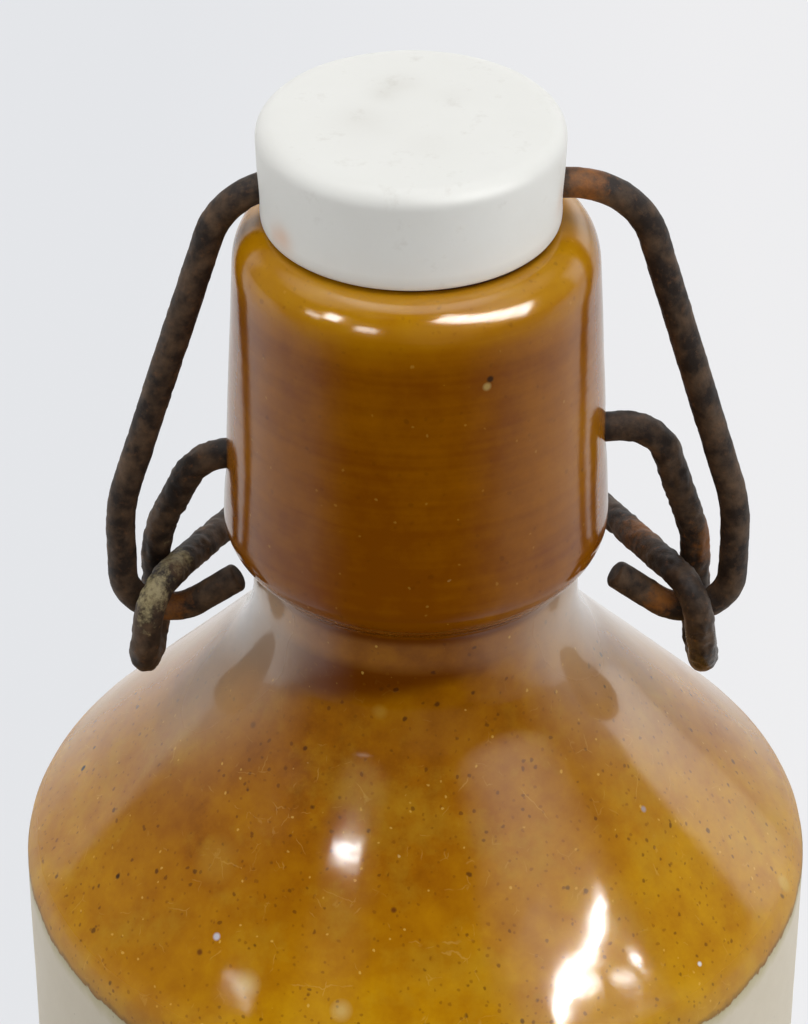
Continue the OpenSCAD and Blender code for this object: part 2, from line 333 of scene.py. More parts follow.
# Single marks in the brown glaze: middle, radius, edge softness as a share, strength, colour. Two are
# painted highlights: the #D8C488 patch at (-16, -30.5, 125), a glinting streak, and the last mark, a
# glint on the neck's sweep.
GLAZE_MARKS = [
    ((6.5, -15.8, 182.8), 0.42, 0.5, 0.9, "#2E1C08"), ((6.2, -15.9, 182.1), 0.5, 0.6, 0.7, "#B9A060"),
    ((-9.2, -15.8, 158.8), 2.2, 1.0, 0.4, "#6A2806"),
    ((17.9, -2.4, 142.6), 0.34, 0.4, 1.0, "#120A06"), ((17.6, -1.2, 143.3), 0.2, 0.4, 1.0, "#120A06"),
    ((17.2, -2.8, 143.6), 0.2, 0.4, 1.0, "#120A06"), ((17.8, -3.9, 142.5), 0.18, 0.4, 1.0, "#120A06"),
    ((18.2, -5.9, 141.4), 0.2, 0.4, 1.0, "#120A06"), ((-15.6, -0.1, 152.0), 0.9, 0.4, 1.0, "#1C120A"),
    ((-33.2, 0.6, 126.3), 0.42, 0.4, 1.0, "#120A06"), ((-32.2, 2.7, 127.3), 0.24, 0.4, 1.0, "#1C120A"),
    ((-28.7, -16.4, 126.4), 0.36, 0.5, 0.9, "#24140A"),
    ((-20.4, -26.8, 125.8), 0.4, 0.6, 0.8, "#5A2A0C"), ((-2.1, -27.9, 131.9), 0.36, 0.6, 0.8, "#5A2A0C"),
    ((-15.5, -11.6, 141.1), 0.45, 0.6, 0.7, "#5A2A0C"),
    ((-18.8, -26.3, 127.3), 0.45, 0.5, 0.9, "#C4C2CC"), ((27.0, -24.8, 122.6), 0.3, 0.5, 0.9, "#DDD8D0"),
    ((21.1, -27.5, 124.7), 0.25, 0.5, 0.8, "#E6DCC4"), ((21.8, -15.0, 133.6), 0.4, 0.6, 0.7, "#A09CA4"),
    ((-19.0, -20.6, 131.9), 2.8, 0.6, 0.25, "#C09433"), ((36.2, -11.2, 121.2), 1.1, 0.5, 0.8, "#C9A24A"),
    ((-16.0, -30.5, 125.0), 1.7, 0.8, 0.4, "#D8C488"), ((-7.0, -33.9, 124.8), 1.2, 0.8, 0.4, "#D8C488"),
    ((-3.4, -15.9, 146.0), 0.9, 0.7, 0.3, "#C29A3A")]


def stoneware_glaze():
    """Wheel-thrown stoneware, dipped in cream glaze and then head down in an iron brown one.
    The brown runs thin and yellow on edges, is darker just under the crease, is glossy with a slight
    orange peel, and carries iron specks, blisters and fine scratches. A pale painted sheen stands for
    what it mirrors of white surroundings, and two painted highlights stand for glints."""
    material, tree, place = bare_finish("glazed_stoneware_dipped")
    _, y, z = add(tree, "SeparateXYZ", (place,)).outputs
    broad = add(tree, "TexNoise", {"Vector": place, "Scale": per_mm(15), "Detail": 5.0,
                                   "Roughness": 0.6})
    cloud = add(tree, "TexNoise", {"Vector": place, "Scale": per_mm(3.2), "Detail": 6.0,
                                   "Roughness": 0.65})
    drawn = add(tree, "Mapping", {"Vector": place, "Scale": (per_mm(30), per_mm(30), per_mm(0.9))})
    rings = add(tree, "TexNoise", {"Vector": drawn, "Scale": 1.0, "Detail": 3.0})
    collar = add(tree, "MapRange", (z, (CREASE_Z + 1) * MM, (CREASE_Z + 4) * MM))
    thick, crease_dark, haze, bloom_and_painted_sheen, inside = (
        add(tree, "Attribute", attribute_name=name).outputs["Fac"]
        for name in ("glaze_thickness", "crease_dark", "haze", "bloom_and_painted_sheen", "inside"))

    # The thickness of the brown glaze picks among four colours. Clouds change it, less so on
    # the collar, and there the potter's rings do too.
    ring = add(tree, "MapRange", (rings, 0.3, 0.7, -0.05, 0.05))
    ring = add(tree, "Math", (ring, collar), operation="MULTIPLY")
    cloudy = add(tree, "Math", (add(tree, "MapRange", (broad, 0.3, 0.7, -0.2, 0.2)),
                                add(tree, "MapRange", (cloud, 0.3, 0.7, -0.16, 0.16))),
                 operation="ADD")
    calm = add(tree, "MapRange", (collar, 0.0, 1.0, 1.0, 0.45))
    cloudy = add(tree, "Math", (cloudy, calm), operation="MULTIPLY")
    depth = add(tree, "Math", (thick, ring), operation="ADD")
    depth = add(tree, "Math", (depth, cloudy), operation="ADD")
    brown = tint("#C49006")
    for thin, full, code in ((0.0, 0.35, "#AE7402"), (0.35, 0.7, "#985C00"),
                             (0.7, 1.0, "#7C4200")):
        layer = add(tree, "MapRange", (depth, thin, full))
        brown = add(tree, "Mix", (layer, brown, tint(code)), data_type="RGBA")
    # Darker just under the crease, as far as a slanting edge.
    brown = add(tree, "Mix", (crease_dark, brown, tint("#683300")), data_type="RGBA")

    # Paler cloudy patches on the shoulder, none on the neck and the collar.
    patch = add(tree, "TexNoise", {"Vector": place, "Scale": per_mm(9), "Detail": 6.0,
                                   "Roughness": 0.7})
    patch = add(tree, "MapRange", (patch, 0.52, 0.68, 0.0, 0.4))
    shoulder = add(tree, "MapRange", (z, (CREASE_Z - 4) * MM, (CREASE_Z - 14) * MM))
    patch = add(tree, "Math", (patch, shoulder), operation="MULTIPLY")
    brown = add(tree, "Mix", (patch, brown, tint("#B48A1E")), data_type="RGBA")

    # Iron specks, yellow flecks and pale blisters, out of round and weaker on the collar. Many
    # real ones are a tenth of a millimetre wide, too fine to show. These have radii of 0.2 to
    # 0.3 mm.
    clear = brown
    bent = add(tree, "TexNoise", {"Vector": place, "Scale": per_mm(0.8)}).outputs["Color"]
    bent = add(tree, "VectorMath", (bent, (0.5 * MM,) * 3), operation="MULTIPLY")
    bent = add(tree, "VectorMath", (bent, place), operation="ADD")
    for size, radius, share, strength, code in (
            (0.9, 0.19, 0.8, 0.5, "#7A4606"), (1.5, 0.24, 0.75, 0.6, "#5A2E06"),
            (2.9, 0.33, 0.7, 0.7, "#42200A"), (1.6, 0.18, 0.5, 0.5, "#E0B450"),
            (4.6, 0.22, 0.4, 0.5, "#DDBB72")):
        brown = glaze_specks(tree, bent, brown, size, radius, share, strength, code)
    shown = add(tree, "MapRange", (collar, 0.0, 1.0, 1.0, 0.35))
    brown = add(tree, "Mix", (shown, clear, brown), data_type="RGBA")

    # Hair-fine scratches on the shoulder, drawn 0.06 mm wide so that they show.
    for size, width, strength in ((4.3, 0.07, 0.2), (2.6, 0.06, 0.16)):
        line = glaze_scratches(tree, bent, size, width)
        line = add(tree, "Math", (line, shoulder), operation="MULTIPLY")
        line = add(tree, "Math", (line, strength), operation="MULTIPLY")
        brown = add(tree, "Mix", (line, brown, tint("#DDB25A")), data_type="RGBA")
    for middle, radius, softness, strength, code in GLAZE_MARKS:
        far = add(tree, "VectorMath", (place, [c * MM for c in middle]), operation="DISTANCE")
        mark = add(tree, "MapRange", (far, radius * (1 - softness) * MM, radius * MM,
                                      strength, 0.0))
        brown = add(tree, "Mix", (mark, brown, tint(code)), data_type="RGBA")
    # Painted sheen: pale colour for what the glaze mirrors of the white surroundings.
    brown = add(tree, "Mix", (bloom_and_painted_sheen, brown, tint("#CDB08E")), data_type="RGBA")

    # The dip line: the brown ends along a slightly tilted, finely ragged line with a dark edge.
    above = z
    wave = add(tree, "TexNoise", {"Vector": place, "Scale": per_mm(5), "Detail": 2.0})
    teeth = add(tree, "TexNoise", {"Vector": place, "Scale": per_mm(0.8), "Detail": 3.0})
    for part in (add(tree, "Math", (y, -DIP_TILT), operation="MULTIPLY"),
                 add(tree, "MapRange", (wave, 0.3, 0.7, -0.4 * MM, 0.4 * MM)),
                 add(tree, "MapRange", (teeth, 0.3, 0.7, -0.22 * MM, 0.22 * MM))):
        above = add(tree, "Math", (above, part), operation="ADD")
    dipped = add(tree, "MapRange", (above, (DIP_Z - 0.08) * MM, (DIP_Z + 0.08) * MM))
    bead = add(tree, "MapRange", (above, (DIP_Z + 0.9) * MM, (DIP_Z + 0.15) * MM, 0.0, 0.6))
    brown = add(tree, "Mix", (bead, brown, tint("#5C3A08")), data_type="RGBA")

    # Cream glaze below, with a greenish fringe under the dip and sparse specks.
    cream = add(tree, "Mix", (cloud, tint("#D0C5AF"), tint("#D9CFBB")), data_type="RGBA")
    fringe = add(tree, "MapRange", (above, (DIP_Z - 1.8) * MM, DIP_Z * MM, 0.0, 0.6))
    cream = add(tree, "Mix", (fringe, cream, tint("#A79A4E")), data_type="RGBA")
    cream = glaze_specks(tree, place, cream, 6.0, 0.3, 0.5, 0.7, "#5B4A38")
    cream = glaze_specks(tree, place, cream, 2.2, 0.14, 0.3, 0.5, "#8A7A60")
    colour = add(tree, "Mix", (dipped, cream, brown), data_type="RGBA")

    # The foot's ring is bare fired clay, and the inside has the cream glaze alone.
    colour = add(tree, "Mix", (inside, colour, tint("#C9B893")), data_type="RGBA")
    bare = add(tree, "MapRange", (z, 1.2 * MM, 0.7 * MM))
    clay = add(tree, "Mix", (cloud, tint("#A58D6E"), tint("#8A7256")), data_type="RGBA")
    colour = add(tree, "Mix", (bare, colour, clay), data_type="RGBA")

    # Height, in units of the bump's distance: orange peel 2 mm across, the rings that the
    # potter's fingers left, and the step down from the brown glaze to the cream one.
    peel = add(tree, "TexNoise", {"Vector": place, "Scale": per_mm(2.0), "Detail": 2.5,
                                  "Roughness": 0.45})
    height = add(tree, "Math", (ring, 8.0), operation="MULTIPLY")
    height = add(tree, "Math", (peel, height), operation="ADD")
    step = add(tree, "MapRange", (above, (DIP_Z - 0.2) * MM, (DIP_Z + 0.2) * MM, 0.0, 4.0))
    height = add(tree, "Math", (height, step), operation="ADD")
    bump = add(tree, "Bump", {"Height": height, "Strength": 1.0, "Distance": 0.012 * MM})

    # Glossy, but matt on the bare foot, where the pale sheen is painted, and on the shoulder's worn rim.
    rough = add(tree, "MapRange", (bare, 0.0, 1.0, 0.08, 0.8))
    for part in ((broad, 0.35, 0.7, 0.0, 0.05), (collar, 0.0, 1.0, 0.0, 0.04),
                 (bloom_and_painted_sheen, 0.0, 0.5, 0.0, 0.3),
                 (z, (WALL_H + 4) * MM, (WALL_H + 1) * MM, 0.0, 0.4)):
        rough = add(tree, "Math", (rough, add(tree, "MapRange", part)), operation="ADD")
    shader = add(tree, "BsdfPrincipled", {
        "Base Color": colour, "Roughness": rough, "IOR": 1.5, "Normal": bump,
        "Coat Weight": haze, "Coat Roughness": 0.09, "Coat Normal": bump})
    add(tree, "OutputMaterial", (shader,))
    return material


def glazed_bottle():
    """Outside and inside outlines joined into one line and turned about the axis. The outside
    wanders a few hundredths of a millimetre as thrown clay does, and each pivot hole is the
    same surface pushed in along the pivot line, with a dished rim."""
    def shoulder(t):
        sweep = arc((NECK_R + SWEEP_R, SWEEP_TOP_Z), SWEEP_R + t, SWEEP_R + t, 180,
                    180 + SHOULDER_ANGLE)
        if t < SHOULDER_EDGE_R:
            return np.vstack([sweep, arc((BODY_R - SHOULDER_EDGE_R, WALL_H), SHOULDER_EDGE_R - t,
                                         SHOULDER_EDGE_R - t, SHOULDER_ANGLE, 0)])
        run = BODY_R - t - sweep[-1, 0]
        return np.vstack([sweep, sweep[-1] + [run, -run * cos_s / sin_s]])

    round_c = (COLLAR_FOOT_R - COLLAR_ROUND_W, CREASE_Z + COLLAR_ROUND_H)
    crease = math.degrees(math.acos((NECK_R - round_c[0]) / COLLAR_ROUND_W))
    round_b = COLLAR_ROUND_H / math.sin(math.radians(crease))
    bore = NECK_R - WALL_T
    outside = np.vstack([
        [[0, 0]],
        arc((BODY_R - FOOT_R, FOOT_R), FOOT_R, FOOT_R, -90, 0),
        shoulder(0.0)[::-1],
        arc(round_c, COLLAR_ROUND_W, round_b, -crease, 0),
        arc((COLLAR_TOP_R - LIP_ROUND_W, LIP_Z - LIP_ROUND_H), LIP_ROUND_W, LIP_ROUND_H, 0, 90),
        [[bore + BEVEL, LIP_Z]]])
    within = np.vstack([
        [[bore, LIP_Z - BEVEL]],
        shoulder(WALL_T),
        arc((BODY_R - WALL_T - FLOOR_R, BASE_T + FLOOR_R), FLOOR_R, FLOOR_R, 0, -90),
        [[0, BASE_T]]])

    def mouth_of(points):
        """Index of the point nearest the middle of the mouth's bevel."""
        return int(np.argmin(np.hypot(points[:, 0] - bore - BEVEL / 2,
                                      points[:, 1] - LIP_Z + BEVEL / 2)))

    # Gaps between rows, by height: closest at the pivot holes and in the crease.
    line = softened(np.vstack([outside, within]), step=0.05, blur=0.4)
    z = line[:, 1]
    out = np.arange(len(line)) < mouth_of(line)
    gap = np.where(out, np.select(
        [z < 0.4, z < 5, z < 114, z < 146, z < 152, z < 157.5, z < 162, z < 170.5, z < 184],
        [3.0, 0.5, 3.2, 0.9, 0.7, 0.3, 0.6, 0.27, 0.9], 0.35), 2.6)
    gap = np.where(~out & (z > LIP_Z - BEVEL - 1), 0.5, gap)
    rows = spaced(line, gap)
    rows[0, 0] = rows[-1, 0] = 0.6    # round the fans that close the ends
    grid = thrown(rows, BOTTLE_COLUMNS, BOTTLE_CROWDING)

    inside = (np.arange(len(rows)) > mouth_of(rows)).astype(float)[:, None]

    # Throwing: soft dents a centimetre across, smaller ones on the neck, none near the base.
    x, y, height = grid[..., 0], grid[..., 1], grid[..., 2]
    round_r = np.hypot(x, y) + 1e-9
    wander = (0.05 * clay_noise(grid, 11.0, 3) + 0.022 * clay_noise(grid, 4.2, 5)
              + 0.008 * clay_noise(grid, 1.9, 8))
    wander *= (smooth_step(3, 12, height) * (1 - inside)
               * smooth_step(LIP_Z + 0.5, LIP_Z - 3, height))
    wander *= 1 - 0.7 * np.exp(-((height - CREASE_Z) / 2.5) ** 2)
    scale = 1 + wander / round_r
    grid = np.stack([x * scale, y * scale, height + 0.5 * wander], -1)

    # Pivot holes, along the tilted axis of each pin.
    for side in (-1, 1):
        axis = np.array([side, 0, side * TILT]) / math.hypot(1, TILT)
        rel = grid - [0, 0, PIVOT_Z]
        along = rel @ axis
        off = np.linalg.norm(rel - along[..., None] * axis, axis=-1)
        near = (along > 10) & (inside < 0.5) & (off < 4)
        deep = HOLE_DEPTH * smooth_step(1.72, 1.56, off) + 0.3 * np.exp(-(off / 2.2) ** 4)
        grid = grid - np.where(near, deep, 0)[..., None] * axis

    # Brown glaze: thin on the lip, thick on the collar and in the crease, thinning down. It is darker
    # just under the crease, as far as a slanting edge.
    thickness = np.interp(
        rows[:, 1],
        [110, 118, 122, 130, 138, 144, 148, 153, 154.6, 157, 170, 184, 188, 190.7],
        [0.1, 0.15, 0.2, 0.36, 0.55, 0.7, 0.75, 0.88, 1.0, 0.96, 1.0, 0.92, 0.3, 0.2])[:, None]
    x, y, height = grid[..., 0], grid[..., 1], grid[..., 2]
    crease_dark = (smooth_step(-1.2, 1.2, height - 148.3 - 0.26 * x)
            * smooth_step(CREASE_Z + 3.5, CREASE_Z + 0.3, height))
    # Thicker, so darker, on the front and left of the shoulder; thinner, so lighter, on its right and on
    # both sides of the collar.
    thickness_spots = spots(grid, [(-2, -26, 134, 9.0, 0.22), (-24, -18, 130, 13.0, 0.25),
                          (24, -20, 126, 12.0, -0.1), (16, -9, 172, 9.0, -0.35),
                          (-17, -6, 172, 8.0, -0.25)])

    # Painted sheen: pale colour painted for what the glaze mirrors of the white surroundings, on both
    # sides of the neck as seen from the front, faint on a band below the crease, and in two spots on the
    # shoulder; the glaze is rougher there too. Haze: how strongly the glaze mirrors, most on the neck.
    sideways = np.abs(x) / (np.hypot(x, y) + 1e-9)
    ragged = sideways - 0.004 * (150 - height) + 0.03 * clay_noise(grid, 6.0, 12)
    bloom_and_painted_sheen = (0.5 * smooth_step(0.52, 0.95, ragged) * smooth_step(136, 149, height)
             * smooth_step(CREASE_Z + 0.5, CREASE_Z - 1, height))
    band = smooth_step(149.5, 151.5, height) * smooth_step(CREASE_Z - 0.5, CREASE_Z - 1.5, height)
    bloom_and_painted_sheen += 0.07 * band + spots(grid, [(-20, -5, 138.5, 6.5, 0.35), (21, -7, 139, 6, 0.15)])
    haze = np.interp(height, [119, 130, 138, 144, 153, 156], [0.0, 0.15, 0.7, 1.0, 0.8, 0.0])
    return clad("stoneware_bottle", grid, "bottle", "bottle",
                stoneware_glaze(),
                marks={"inside": inside, "haze": haze, "crease_dark": crease_dark * (1 - band),
                       "bloom_and_painted_sheen": bloom_and_painted_sheen, "glaze_thickness": thickness + thickness_spots})


# ---------------------------------------------------------------- rusty wires

def rusty_wire(name):
    """Drawn iron wire, bent cold and long rusted: a dark brown-black oxide skin, hardly
    shiny, with pits and flakes about a millimetre wide, orange rust where wet joints held
    water and a pale dry scale in places."""
    material, tree, place = bare_finish(name)
    mottle = add(tree, "TexNoise", {"Vector": place, "Scale": per_mm(2.4), "Detail": 6.0,
                                    "Roughness": 0.65})
    grit = add(tree, "TexNoise", {"Vector": place, "Scale": per_mm(0.7), "Detail": 5.0,
                                  "Roughness": 0.7})
    rust, scale, worn = (add(tree, "Attribute", attribute_name=mark).outputs["Fac"]
                         for mark in ("rust", "pale_scale", "worn"))
    share = add(tree, "MapRange", (mottle, 0.42, 0.68))
    skin = add(tree, "Mix", (share, tint("#281E18"), tint("#5E4834")), data_type="RGBA")
    fleck = add(tree, "MapRange", (grit, 0.56, 0.72, 0.0, 0.55))
    skin = add(tree, "Mix", (fleck, skin, tint("#6E4C30")), data_type="RGBA")
    patch = add(tree, "Math", (rust, grit), operation="ADD")
    patch = add(tree, "MapRange", (patch, 0.72, 1.15))
    orange = add(tree, "Mix", (mottle, tint("#6A3A12"), tint("#9C6226")), data_type="RGBA")
    skin = add(tree, "Mix", (patch, skin, orange), data_type="RGBA")
    flake = add(tree, "Math", (scale, grit), operation="ADD")
    flake = add(tree, "MapRange", (flake, 0.98, 1.22))
    pale = add(tree, "Mix", (grit, tint("#6C5E34"), tint("#A89C78")), data_type="RGBA")
    skin = add(tree, "Mix", (flake, skin, pale), data_type="RGBA")
    rough = add(tree, "MapRange", (worn, 0.0, 1.0, 0.6, 0.2))
    bump = add(tree, "Bump", {"Height": grit, "Strength": 0.5, "Distance": 0.12 * MM})
    shader = add(tree, "BsdfPrincipled", {"Base Color": skin, "Roughness": rough,
                                          "Normal": bump})
    add(tree, "OutputMaterial", (shader,))
    return material


def rust_relief(amount):
    """Height of the rust skin: flakes 1.3 mm and grains 0.5 mm across, and shallow pits."""
    def relief(points):
        flakes = clay_noise(points, 1.3, 21)
        grains = clay_noise(points, 0.5, 22)
        pits = smooth_step(0.35, 0.8, clay_noise(points, 0.9, 23))
        return amount * (0.4 * flakes + 0.6 * grains - 0.7 * pits)
    return relief


def lever_wire(material):
    """Lever: the pins lie on the pivot line, each arm drops to an eye that is bent round from
    back to front, and the wire runs on past the neck to the thumb loop."""
    straight_h = COLLAR_H - COLLAR_ROUND_H - LIP_ROUND_H
    climb = PIVOT_Z - CREASE_Z - COLLAR_ROUND_H
    hole_x = COLLAR_FOOT_R - (COLLAR_FOOT_R - COLLAR_TOP_R) * climb / straight_h - HOLE_DEPTH

    def half(side):
        pins = [side * x + LEVER_SLIDE for x in (hole_x + LEVER_SLIDE + PIN_GAP,
                                                 COLLAR_FOOT_R + 3.3)]
        back, front = EYE_HALF - OVER_CENTRE, -EYE_HALF - OVER_CENTRE
        splay = 0.5 if side < 0 else 0.0
        rest = [(25.9 + 0.4 * splay, back - 0.3, PIVOT_Z - 12), (26.3, back, HOOK_Z - 5.1),
                (26.9 + splay, front, HOOK_Z - 5.1), (25.6 + splay, front, HOOK_Z + 4.6),
                (11, 26.5, PIVOT_Z - 18)]
        return ([(x, 0, PIVOT_Z + x * TILT) for x in pins]
                + [(side * x + LEVER_SLIDE, y, z) for x, y, z in rest])

    bends = [0, 4.6, 14, 3.4, 3.4, 3.4, 6]
    path = BentWire(half(-1) + half(1)[::-1], bends + bends[::-1])
    rusted = rust_relief(0.15)

    def relief(points):
        """None on the pins, which have to turn in their holes."""
        return rusted(points) * smooth_step(17, 20, np.abs(points[..., 0]) + points[..., 1])

    grid, bare = drawn_wire(path, LEVER_WIRE_R - 0.03, edge=0.35, relief=relief)
    rust = spots(bare, [(28.6, 2.0, 153.5, 2.2, 0.75), (27.2, 4.0, 149.5, 2.0, 0.6),
                        (22.5, 5.5, 152.0, 2.6, 0.45), (-25.4, 3.3, 152.0, 2.0, 0.3),
                        (27.5, -3.0, 142.0, 1.6, 0.35), (26.0, 3.5, 158.5, 2.0, 0.3)]) + 0.1
    scale = spots(bare, [(-25.8, -6.2, 148.6, 2.2, 0.42), (-25.2, -4.8, 152.2, 2.8, 0.7),
                         (-22.8, -0.5, 153.2, 2.6, 0.66), (22.0, 8.0, 152.5, 3.0, 0.35)])
    worn = spots(bare, [(27.5, -6.5, 146.0, 5.0, 1.0)])
    return clad("lever_wire", grid, "lever", "closing_lever", material,
                marks={"rust": rust, "pale_scale": scale, "worn": worn})


def bail_wire(material):
    """Bail: each hook's cut end rises inward, its seat lies level in the eye, the leg stands
    up, leans in and turns over through the stopper's hole."""
    rise, bend, seat = 29.0, 4.0, 1.0
    seat_x = 29.3 - bend - seat - bend * math.tan(math.radians(rise / 2))

    def half(side):
        foot, top, end_x, end_lift = ((29.2, 18.3, 18.1, 0.7) if side < 0
                                      else (29.25, 18.8, 17.9, 1.0))
        lift = (seat_x - end_x) * math.tan(math.radians(rise)) + end_lift
        corners = [(end_x, -OVER_CENTRE, HOOK_Z + lift),
                   (seat_x, -OVER_CENTRE, HOOK_Z), (foot, -OVER_CENTRE, HOOK_Z),
                   (foot, -OVER_CENTRE, HOOK_Z + 11.7), (top, 0, CROSS_Z)]
        return [(side * x + 1.1, y, z) for x, y, z in corners]

    bends = [0, bend, bend, 18, 8]
    path = BentWire(half(-1) + half(1)[::-1], bends + bends[::-1])
    rusted = rust_relief(0.06)

    def relief(points):
        """None inside the stopper's hole."""
        return rusted(points) * smooth_step(13.5, 15, np.abs(points[..., 0]))

    grid, bare = drawn_wire(path, BAIL_WIRE_R, edge=0.45, relief=relief)
    rust = spots(bare, [(15.2, 0, 193.5, 2.4, 0.8), (23.0, -2.8, 149.0, 1.8, 0.45),
                        (24.4, -1.5, 149.6, 1.6, 0.5), (-22.8, -1.5, 149.2, 2.0, 0.5),
                        (-23.8, -2.8, 147.2, 1.6, 0.4), (29.4, -1.0, 149.5, 1.8, 0.35)])
    return clad("bail_wire", grid, "bail", "stopper_bail", material,
                marks={"rust": rust, "pale_scale": 0.0, "worn": 0.0})


# ---------------------------------------------------------------- stopper and ring

def white_porcelain():
    """Slip-cast porcelain under a clear glaze worn dull by use: clean white with faint grey scuffs on
    top, faint grime, painted shade along the lower edge where the head sits on the lip, and a trace of
    rust from the wire."""
    material, tree, place = bare_finish("white_porcelain_worn")
    _, _, z = add(tree, "SeparateXYZ", (place,)).outputs
    scuffs, stain = (add(tree, "Attribute", attribute_name=mark).outputs["Fac"]
                     for mark in ("scuff", "stain"))
    cloud = add(tree, "TexNoise", {"Vector": place, "Scale": per_mm(7), "Detail": 5.0,
                                   "Roughness": 0.6})
    white = add(tree, "Mix", (cloud, tint("#E8E8E3"), tint("#EFEFEB")), data_type="RGBA")
    grime = add(tree, "TexNoise", {"Vector": place, "Scale": per_mm(3.5), "Detail": 6.0,
                                   "Roughness": 0.7})
    grime = add(tree, "MapRange", (grime, 0.58, 0.75, 0.0, 0.22))
    # Painted shade: darker along the head's lower edge, for its contact shadow on the lip.
    low = add(tree, "MapRange", (z, (HEAD_Z + 1.6) * MM, HEAD_Z * MM, 0.0, 0.3))
    worn = add(tree, "MapRange", (cloud, 0.4, 0.65, 0.3, 1.0))
    worn = add(tree, "Math", (scuffs, worn), operation="MULTIPLY")
    for share, code in ((grime, "#A9A091"), (low, "#9C9384"), (worn, "#B5AFA2"),
                        (stain, "#E2B08A")):
        white = add(tree, "Mix", (share, white, tint(code)), data_type="RGBA")
    bump = add(tree, "Bump", {"Height": cloud, "Strength": 0.1, "Distance": 0.3 * MM})
    shader = add(tree, "BsdfPrincipled", {"Base Color": white, "Roughness": 0.55, "IOR": 1.5,
                                          "Normal": bump})
    add(tree, "OutputMaterial", (shader,))
    return material


def porcelain_stopper():
    """Head, plug and bead turned from one outline. The cross hole is the same surface pushed
    in along x from both sides until the two meet in a thin skin, with flared mouths."""
    bead_z = HEAD_Z - RING_T
    bead = (PLUG_H - RING_T) / 2
    outline = np.vstack([
        [[0, HEAD_Z - PLUG_H]],
        arc((BEAD_R - bead, bead_z - bead), bead, bead, -90, 90),
        [[PLUG_R, bead_z], [PLUG_R, HEAD_Z]],
        arc((HEAD_R - HEAD_TAPER - HEAD_LOW_R, HEAD_Z + HEAD_LOW_R), HEAD_LOW_R, HEAD_LOW_R,
            -90, 0),
        arc((HEAD_R - HEAD_TOP_R, HEAD_Z + HEAD_H - HEAD_TOP_R), HEAD_TOP_R, HEAD_TOP_R, 0, 90),
        [[0, HEAD_Z + HEAD_H]]])
    line = softened(outline, step=0.03, blur=0.2)
    on_side = (line[:, 0] > HEAD_R - 0.6) & (line[:, 1] < HEAD_Z + 6.5)
    top = line[:, 1] > HEAD_Z + HEAD_H - 0.05
    gap = np.where(on_side, 0.16, np.where(top, 0.6, 0.24))
    rows = spaced(line, gap)
    rows[0, 0] = rows[-1, 0] = 0.3    # round the fans that close the ends
    grid = thrown(rows, STOPPER_COLUMNS, STOPPER_CROWDING)
    lump = 0.04 * clay_noise(grid, 6.0, 31) + 0.02 * clay_noise(grid, 2.5, 32)
    x, y, z = grid[..., 0], grid[..., 1], grid[..., 2]
    outer = smooth_step(10, 12, np.hypot(x, y)) * smooth_step(HEAD_Z + 1, HEAD_Z + 3, z)
    grid = grid + lump[..., None] * np.stack([x / HEAD_R * outer, y / HEAD_R * outer,
                                              smooth_step(HEAD_Z + 8.6, HEAD_Z + 9.9, z)], -1)
    off = np.hypot(y, z - CROSS_Z)
    hole = BAIL_WIRE_R + HOLE_GAP
    deep = np.where(off < hole + 0.02, HEAD_R, np.clip((hole + 0.75 - off) / 0.26, 0, 2.6))
    mouth = (np.hypot(x, y) > HEAD_R - 1.4) & (off < hole + 1.0)
    reach = np.where(mouth, np.minimum(deep, np.abs(x) - 0.15), 0)
    grid[..., 0] -= np.sign(x) * np.maximum(reach, 0)
    stain = spots(grid, [(-11.6, -7.8, 192.4, 1.3, 0.55), (-12.4, -6.4, 191.9, 1.0, 0.3),
                         (13.6, -3.4, 194.0, 1.4, 0.3), (13.9, -1.9, 192.2, 0.9, 0.4)])
    top = HEAD_Z + HEAD_H
    scuff = spots(grid, [(-1.0, 5.9, top, 2.2, 0.2), (-2.3, 4.0, top, 1.4, 0.18),
                         (3.6, 4.0, top, 1.6, 0.12), (1.7, -5.2, top, 2.4, 0.12),
                         (-4.0, -1.0, top, 3.0, 0.18)])
    grid[..., 0] -= HEAD_LEFT
    return clad("porcelain_stopper", grid, "stopper", "stopper",
                white_porcelain(), marks={"stain": stain, "scuff": scuff})


def perished_rubber():
    """Moulded red rubber, aged: dull brown-red with a dusty bloom and fine cracks."""
    material, tree, place = bare_finish("aged_red_rubber")
    bloom_and_painted_sheen = add(tree, "TexNoise", {"Vector": place, "Scale": per_mm(2), "Detail": 6.0})
    colour = add(tree, "Mix", (bloom_and_painted_sheen, tint("#6E3325"), tint("#8E5342")), data_type="RGBA")
    crack = add(tree, "TexVoronoi", {"Vector": place, "Scale": per_mm(1.1)},
                feature="DISTANCE_TO_EDGE")
    line = add(tree, "MapRange", (crack, 0.0, 0.06, 0.6, 0.0))
    colour = add(tree, "Mix", (line, colour, tint("#3A1C15")), data_type="RGBA")
    bump = add(tree, "Bump", {"Height": crack, "Strength": 0.4, "Distance": 0.1 * MM})
    shader = add(tree, "BsdfPrincipled", {"Base Color": colour, "Roughness": 0.75,
                                          "Normal": bump})
    add(tree, "OutputMaterial", (shader,))
    return material


